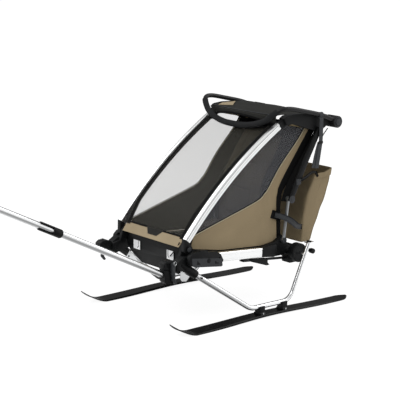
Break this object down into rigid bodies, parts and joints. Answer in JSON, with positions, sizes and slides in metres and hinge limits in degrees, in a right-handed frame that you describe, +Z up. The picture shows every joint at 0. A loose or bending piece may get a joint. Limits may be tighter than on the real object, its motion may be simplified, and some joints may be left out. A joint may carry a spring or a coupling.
{
  "type": "child trailer on skis",
  "caption": "Single-seat child trailer on skis: bowed aluminium frame, fabric cabin, swivelling handlebar, bent ski struts, rear bag and a forward pull pole.",
  "frame": {"origin": "centre of the bounding box in plan, at the height of the skis' running faces", "axes": "+Z up, the trailer faces -Y with its pull pole, +X is its left side"},
  "size_m": [0.871, 2.656, 1.069],
  "materials": {
    "ski_left": "gloss",
    "ski_right": "gloss",
    "ski_strut_left": "satin",
    "ski_strut_right": "satin",
    "strut_boot_left": "matte",
    "strut_boot_right": "matte",
    "side_rail_left": "satin",
    "side_rail_right": "satin",
    "front_corner_left": "matte",
    "front_corner_right": "matte",
    "rear_casting_left": "matte",
    "rear_casting_right": "matte",
    "axle_housing_left": "matte",
    "axle_housing_right": "matte",
    "leaf_spring_left": "black satin",
    "leaf_spring_right": "black satin",
    "spring_slider_left": "matte",
    "spring_slider_right": "matte",
    "dock_left": "matte",
    "dock_right": "matte",
    "dock_button_left": "matte",
    "dock_button_right": "matte",
    "hitch_block_left": "matte",
    "hitch_block_right": "matte",
    "hitch_lever_left": "matte",
    "hitch_lever_right": "matte",
    "upright_shoe_left": "matte",
    "upright_shoe_right": "matte",
    "upright_left": "satin",
    "upright_right": "satin",
    "top_arm_left": "matte",
    "top_arm_right": "matte",
    "lower_strut_left": "grey satin",
    "lower_strut_right": "grey satin",
    "upper_strut_left": "grey satin",
    "upper_strut_right": "grey satin",
    "hub_button_left": "matte",
    "hub_button_right": "matte",
    "side_panel_left": "woven",
    "side_panel_right": "woven",
    "front_cross_tube": "satin",
    "axle_tube": "black satin",
    "hub_cross_tube": "black satin",
    "pole_lower": "satin",
    "pole_upper": "satin",
    "pole_collar": "matte",
    "pole_foot": "matte",
    "pole_end": "matte",
    "brake_bar": "matte",
    "floor_pan": "matte",
    "front_panel": "matte",
    "front_cover": "mesh and clear film",
    "canopy": "woven",
    "rear_panel": "woven",
    "seat_cushion": "woven",
    "seat_back": "woven",
    "rear_bag": "woven",
    "handlebar": "black satin",
    "handlebar_grip": "foam",
    "wrist_strap": "webbing"
  },
  "bodies": {
    "chassis": {"ski_left": "ski_left", "ski_right": "ski_right", "ski_strut_left": "ski_strut_left", "ski_strut_right": "ski_strut_right", "strut_boot_left": "strut_boot_left", "strut_boot_right": "strut_boot_right", "side_rail_left": "side_rail_left", "side_rail_right": "side_rail_right", "front_corner_left": "front_corner_left", "front_corner_right": "front_corner_right", "rear_casting_left": "rear_casting_left", "rear_casting_right": "rear_casting_right", "axle_housing_left": "axle_housing_left", "axle_housing_right": "axle_housing_right", "leaf_spring_left": "leaf_spring_left", "leaf_spring_right": "leaf_spring_right", "dock_left": "dock_left", "dock_right": "dock_right", "hitch_block_left": "hitch_block_left", "hitch_block_right": "hitch_block_right", "side_panel_left": "side_panel_left", "side_panel_right": "side_panel_right", "front_cross_tube": "front_cross_tube", "axle_tube": "axle_tube", "pole_lower": "pole_lower", "pole_upper": "pole_upper", "pole_collar": "pole_collar", "pole_foot": "pole_foot", "pole_end": "pole_end", "floor_pan": "floor_pan", "front_panel": "front_panel", "rear_panel": "rear_panel", "seat_cushion": "seat_cushion", "rear_bag": "rear_bag"},
    "upper_frame": {"upright_left": "upright_left", "upright_right": "upright_right", "upright_shoe_left": "upright_shoe_left", "upright_shoe_right": "upright_shoe_right", "top_arm_left": "top_arm_left", "top_arm_right": "top_arm_right", "hub_cross_tube": "hub_cross_tube", "canopy": "canopy", "front_cover": "front_cover", "wrist_strap": "wrist_strap"},
    "handlebar": {"handlebar": "handlebar", "handlebar_grip": "handlebar_grip"},
    "seat_back": {"seat_back": "seat_back"},
    "brake_bar": {"brake_bar": "brake_bar"},
    "hub_button_left": {"hub_button_left": "hub_button_left"},
    "lower_strut_left": {"lower_strut_left": "lower_strut_left"},
    "upper_strut_left": {"upper_strut_left": "upper_strut_left"},
    "hitch_lever_left": {"hitch_lever_left": "hitch_lever_left"},
    "dock_button_left": {"dock_button_left": "dock_button_left"},
    "spring_slider_left": {"spring_slider_left": "spring_slider_left"},
    "hub_button_right": {"hub_button_right": "hub_button_right"},
    "lower_strut_right": {"lower_strut_right": "lower_strut_right"},
    "upper_strut_right": {"upper_strut_right": "upper_strut_right"},
    "hitch_lever_right": {"hitch_lever_right": "hitch_lever_right"},
    "dock_button_right": {"dock_button_right": "dock_button_right"},
    "spring_slider_right": {"spring_slider_right": "spring_slider_right"}
  },
  "joints": [
    {"name": "frame_fold", "type": "hinge", "parent": "chassis", "child": "upper_frame", "pos_m": [0, 0.265, 0.402], "axis": [1, 0, 0], "range_deg": [-26, 0], "deforming": ["side_panel_left", "side_panel_right", "rear_panel", "seat_back", "canopy"]},
    {"name": "handlebar_tilt", "type": "hinge", "parent": "upper_frame", "child": "handlebar", "pos_m": [0, 1.237, 0.958], "axis": [1, 0, 0], "range_deg": [-190, 0]},
    {"name": "seat_recline", "type": "hinge", "parent": "chassis", "child": "seat_back", "pos_m": [0, 0.845, 0.3453], "axis": [-1, 0, 0], "range_deg": [0, 8]},
    {"name": "brake_press", "type": "hinge", "parent": "chassis", "child": "brake_bar", "pos_m": [0, 0.985, 0.256], "axis": [-1, 0, 0], "range_deg": [0, 15]},
    {"name": "lower_strut_left_turn", "type": "hinge", "parent": "chassis", "child": "lower_strut_left", "pos_m": [0, 0.895, 0.357], "axis": [1, 0, 0], "range_deg": [-0.1, 14.7]},
    {"name": "upper_strut_left_turn", "type": "hinge", "parent": "upper_frame", "child": "upper_strut_left", "pos_m": [0, 1.123, 0.926], "axis": [1, 0, 0], "range_deg": [-46.6, 0.1]},
    {"name": "hub_button_left_press", "type": "slide", "parent": "handlebar", "child": "hub_button_left", "axis": [-1, 0, 0], "range_m": [0, 0.005], "stiffness_N_per_m": 400},
    {"name": "hitch_lever_left_swing", "type": "hinge", "parent": "chassis", "child": "hitch_lever_left", "pos_m": [0, 0.152, 0.345], "axis": [-1, 0, 0], "range_deg": [0, 80], "stiffness_Nm_per_rad": 0.15},
    {"name": "dock_button_left_press", "type": "slide", "parent": "chassis", "child": "dock_button_left", "axis": [-1, 0, 0], "range_m": [0, 0.003], "stiffness_N_per_m": 400},
    {"name": "spring_slider_left_move", "type": "slide", "parent": "chassis", "child": "spring_slider_left", "axis": [0, 0.9955, -0.0949], "range_m": [0, 0.06]},
    {"name": "lower_strut_right_turn", "type": "hinge", "parent": "chassis", "child": "lower_strut_right", "pos_m": [0, 0.895, 0.357], "axis": [1, 0, 0], "range_deg": [-0.1, 14.7]},
    {"name": "upper_strut_right_turn", "type": "hinge", "parent": "upper_frame", "child": "upper_strut_right", "pos_m": [0, 1.123, 0.926], "axis": [1, 0, 0], "range_deg": [-46.6, 0.1]},
    {"name": "hub_button_right_press", "type": "slide", "parent": "handlebar", "child": "hub_button_right", "axis": [1, 0, 0], "range_m": [0, 0.005], "stiffness_N_per_m": 400},
    {"name": "hitch_lever_right_swing", "type": "hinge", "parent": "chassis", "child": "hitch_lever_right", "pos_m": [0, 0.152, 0.345], "axis": [-1, 0, 0], "range_deg": [0, 80], "stiffness_Nm_per_rad": 0.15},
    {"name": "dock_button_right_press", "type": "slide", "parent": "chassis", "child": "dock_button_right", "axis": [1, 0, 0], "range_m": [0, 0.003], "stiffness_N_per_m": 400},
    {"name": "spring_slider_right_move", "type": "slide", "parent": "chassis", "child": "spring_slider_right", "axis": [0, 0.9955, -0.0949], "range_m": [0, 0.06]}
  ],
  "couplings": [
    {"joint": "lower_strut_left_turn", "follows": "frame_fold", "ratio": -0.5585},
    {"joint": "upper_strut_left_turn", "follows": "frame_fold", "ratio": 1.7831},
    {"joint": "lower_strut_right_turn", "follows": "frame_fold", "ratio": -0.5585},
    {"joint": "upper_strut_right_turn", "follows": "frame_fold", "ratio": 1.7831}
  ]
}
